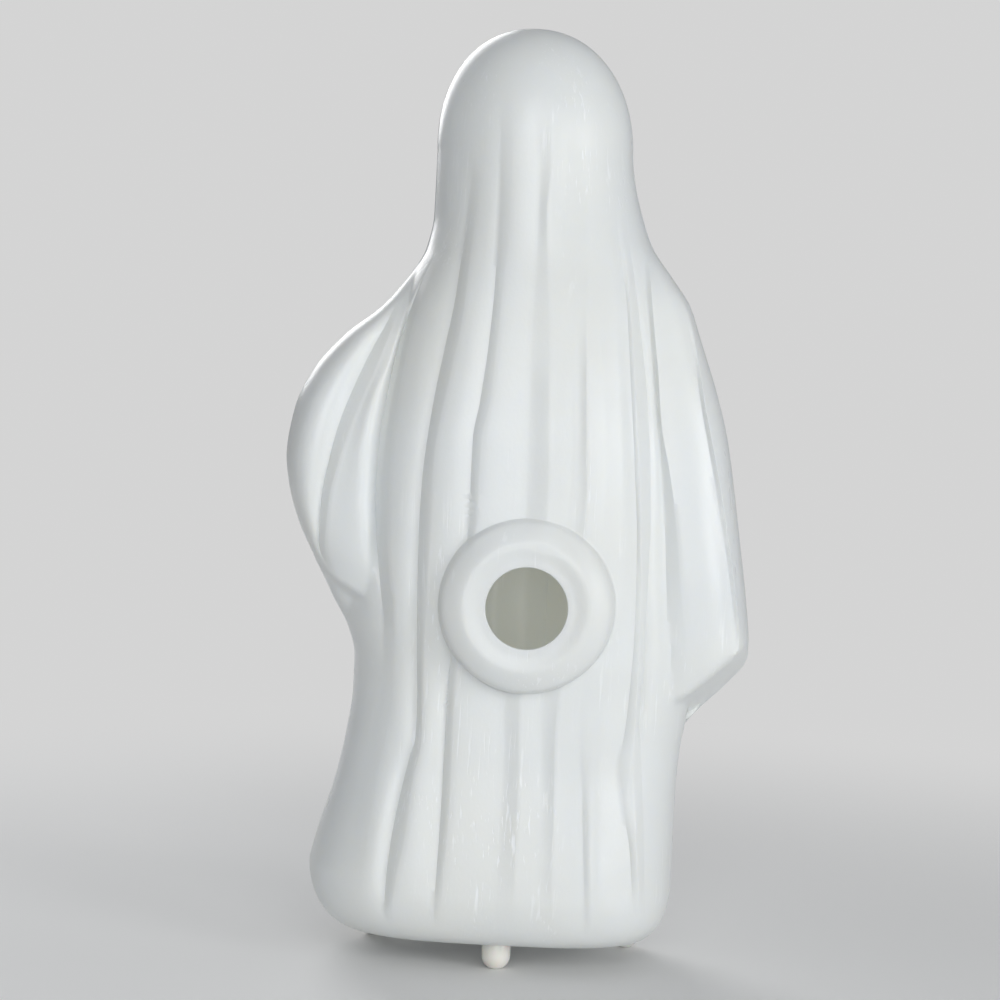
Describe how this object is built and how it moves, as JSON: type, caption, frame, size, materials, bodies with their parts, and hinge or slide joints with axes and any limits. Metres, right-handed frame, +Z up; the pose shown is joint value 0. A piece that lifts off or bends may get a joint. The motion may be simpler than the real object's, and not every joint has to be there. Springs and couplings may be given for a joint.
{
  "type": "blow mold ghost",
  "caption": "Hollow blow-moulded ghost figure under a draped sheet, standing on plug feet, with a raised boss and open lamp hole low on its back",
  "frame": {"origin": "the middle of the bounding box's underside, on the table", "axes": "+Z up, +Y to the back of the figure with the lamp boss, the face looks along -Y, +X to the figure's left"},
  "size_m": [0.1756, 0.1142, 0.3449],
  "materials": {
    "shell_plastic": "satin white polyethylene, as blown, with fine handling scuffs",
    "foot_plastic": "polished white plastic",
    "face_paint": "flat black paint"
  },
  "bodies": {
    "root": {"rear_shell": "shell_plastic", "front_shell": "shell_plastic", "foot_rear": "foot_plastic", "foot_front_left": "foot_plastic", "foot_front_right": "foot_plastic", "eye_left": "face_paint", "eye_right": "face_paint", "mouth": "face_paint"}
  },
  "joints": []
}
